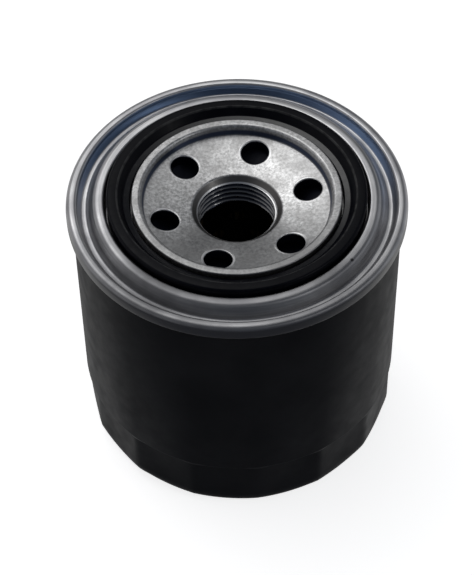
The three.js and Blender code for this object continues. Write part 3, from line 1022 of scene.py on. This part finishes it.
paint, tin, zinc = black_paint(), tin_plate(), zinc_plate()
gasket_finish = gasket_rubber("gasket_rubber", specular=0.1, smoothest=0.26, roughest=0.4)
shelf_finish = gasket_rubber("oiled_gasket_shelf", specular=0.55, smoothest=0.16, roughest=0.28)
valve_finish = valve_rubber()
steel, wire_finish = inner_steel(), spring_steel()
paper_finish, resin = filter_paper(), potting_resin()

place(make_can(), "canister", "black_paint", paint, "canister_shell")
place(make_lid(), "canister", "tin_plate", tin, "seaming_lid")
place(make_plate(), "canister", "zinc_plate", zinc, "thread_plate", "threaded_boss")
gasket = place(make_gasket(), "canister", "gasket_rubber", gasket_finish, "sealing_gasket")
oil_shelf(gasket, shelf_finish)
element_coil = place(make_element_coil(), "canister", "spring_steel", wire_finish, "element_spring")
drain_valve = place(make_drain_valve(), None, "valve_rubber", valve_finish, "anti_drainback_valve")

upper_cap = make_cap("upper_cap", "upper_end_cap", collar=14.5, side=1)
lower_cap = make_cap("lower_cap", "lower_end_cap", collar=12.6, side=-1)
place(upper_cap, "element", "inner_steel", steel, "upper_end_cap")
place(lower_cap, "element", "inner_steel", steel, "lower_end_cap")
for level in ("upper", "lower"):
    node_name = f"{level}_potting_ring"
    bed = make_ring(f"{level}_resin_bed", node_name, inner=15.8, rounding=0.3)
    place(bed, "element", "potting_resin", resin, node_name)
place(make_tube(), "element", "inner_steel", steel, "centre_tube")
place(make_paper(), "element", "filter_paper", paper_finish, "pleated_media")
place(make_clip(), "element", "inner_steel", steel, "pleat_seam_clip")
place(make_valve_seat(), "element", "inner_steel", steel, "bypass_valve_seat")
place(make_cage(), "element", "inner_steel", steel, "bypass_cage")
bypass_coil = place(make_bypass_coil(), "element", "spring_steel", wire_finish, "bypass_spring")
washer = make_ring("bypass_washer", "bypass_seal_washer", inner=POPPET_BORE, rounding=0.25)
disc = make_ring("bypass_disc", "bypass_poppet_disc", inner=POPPET_BORE, rounding=0.2)
place(washer, "bypass_poppet", "valve_rubber", valve_finish, "bypass_seal_washer")
place(disc, "bypass_poppet", "inner_steel", steel, "bypass_poppet_disc")
place(make_rivet(), "bypass_poppet", "spring_steel", wire_finish, "bypass_rivet")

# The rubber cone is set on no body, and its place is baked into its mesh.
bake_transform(drain_valve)


def shorten(coil):
    """Gives a spring's coil a mesh of its own."""
    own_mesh(coil)


shorten(element_coil)
shorten(bypass_coil)


# ---------------------------------------------------------------- floor and light

FLOOR_REACH = 4
FLOOR_DROP = 0.0001  # keeps the floor clear of the can's foot

# The studio's walls, as the object sees them. East is +X, and the camera stands to the south.
FRONT_LOW = (0.035, 0.037, 0.045, 1)
FRONT_WALL = (0.06, 0.068, 0.084, 1)
BACK_LOW = (0.5, 0.5, 0.5, 1)
BACK_WALL = (0.11, 0.115, 0.125, 1)
LEFT_WALL = (0.46, 0.46, 0.47, 1)
RIGHT_WALL = (0.26, 0.27, 0.29, 1)
SOFTBOX = (1.1, 1.1, 1.1, 1)
SOFTBOX_MIDDLE = (-0.25, 0.38, 0.87)
SOFTBOX_EDGE = (0.82, 0.96)  # cosines from its middle where it fades in, and where it is full


def make_floor():
    mesh = bpy.data.meshes.new("floor")
    corners = [(-1, -1), (1, -1), (1, 1), (-1, 1)]
    mesh.from_pydata([(x * FLOOR_REACH, y * FLOOR_REACH, 0) for x, y in corners], [], [(0, 1, 2, 3)])
    floor = bpy.data.objects.new("floor", mesh)
    bpy.context.scene.collection.objects.link(floor)
    material = bpy.data.materials.new("pale_floor")
    material.use_nodes = True
    shader = material.node_tree.nodes["Principled BSDF"]
    shader.inputs["Base Color"].default_value = (0.8, 0.8, 0.8, 1)
    shader.inputs["Emission Color"].default_value = (1, 1, 1, 1)
    shader.inputs["Emission Strength"].default_value = 0.8
    shader.inputs["Roughness"].default_value = 0.9
    shader.inputs["Specular IOR Level"].default_value = 0.1
    mesh.materials.append(material)
    floor.location.z = cad_low.z - FLOOR_DROP
    floor.visible_glossy = False


def make_light(name, place_m, size_m, power):
    """A soft square light that faces the object."""
    data = bpy.data.lights.new(name, "AREA")
    data.size = size_m
    data.energy = power
    light = bpy.data.objects.new(name, data)
    bpy.context.scene.collection.objects.link(light)
    light.location = place_m
    aim = Vector((0, 0, (cad_low.z + cad_high.z) / 2))
    light.rotation_euler = (aim - light.location).to_track_quat("-Z", "Y").to_euler()


def make_world():
    """A studio with pale walls, dark behind the camera, and a large softbox. The camera sees plain white."""
    world = bpy.data.worlds.new("studio")
    bpy.context.scene.world = world
    world.use_nodes = True
    world.node_tree.nodes.clear()
    studio = Nodes(world.node_tree)
    toward = studio.node("ShaderNodeTexCoord").outputs["Generated"]
    east, north, up = studio.node("ShaderNodeSeparateXYZ", Vector=toward).outputs

    front = studio.mix(studio.fit(up, -0.1, 0.25, 0, 1, ease=True), FRONT_LOW, FRONT_WALL)
    back = studio.mix(studio.fit(up, -0.1, 0.45, 0, 1, ease=True), BACK_LOW, BACK_WALL)
    seen = studio.mix(studio.fit(north, -0.25, 0.35, 0, 1, ease=True), front, back)
    above_floor = studio.fit(up, -0.2, 0.2, 0, 1, ease=True)
    for start, end, wall in ((-0.4, -0.95, LEFT_WALL), (0.4, 0.95, RIGHT_WALL)):
        share = studio.both(studio.fit(east, start, end, 0, 1, ease=True), above_floor)
        seen = studio.mix(share, seen, wall)
    from_middle = studio.node("ShaderNodeVectorMath", operation="DOT_PRODUCT", Vector=toward)
    from_middle.inputs[1].default_value = Vector(SOFTBOX_MIDDLE).normalized()
    softbox = studio.fit(from_middle.outputs["Value"], *SOFTBOX_EDGE, 0, 1, ease=True)
    seen = studio.mix(softbox, seen, SOFTBOX)

    lit = studio.node("ShaderNodeBackground", Color=seen)
    white = studio.node("ShaderNodeBackground", Color=(1, 1, 1, 1))
    to_camera = studio.node("ShaderNodeLightPath").outputs["Is Camera Ray"]
    mix = studio.tree.nodes.new("ShaderNodeMixShader")
    studio.feed(mix.inputs[0], to_camera)
    studio.feed(mix.inputs[1], lit.outputs[0])
    studio.feed(mix.inputs[2], white.outputs[0])
    studio.node("ShaderNodeOutputWorld", Surface=mix.outputs[0])


make_floor()
make_world()
make_light("overhead", (-0.22, 0.32, 0.68), 0.35, 0.35)
make_light("right_front", (0.6, -0.34, 0.5), 0.12, 0.31)
bpy.context.scene.view_settings.view_transform = "Standard"
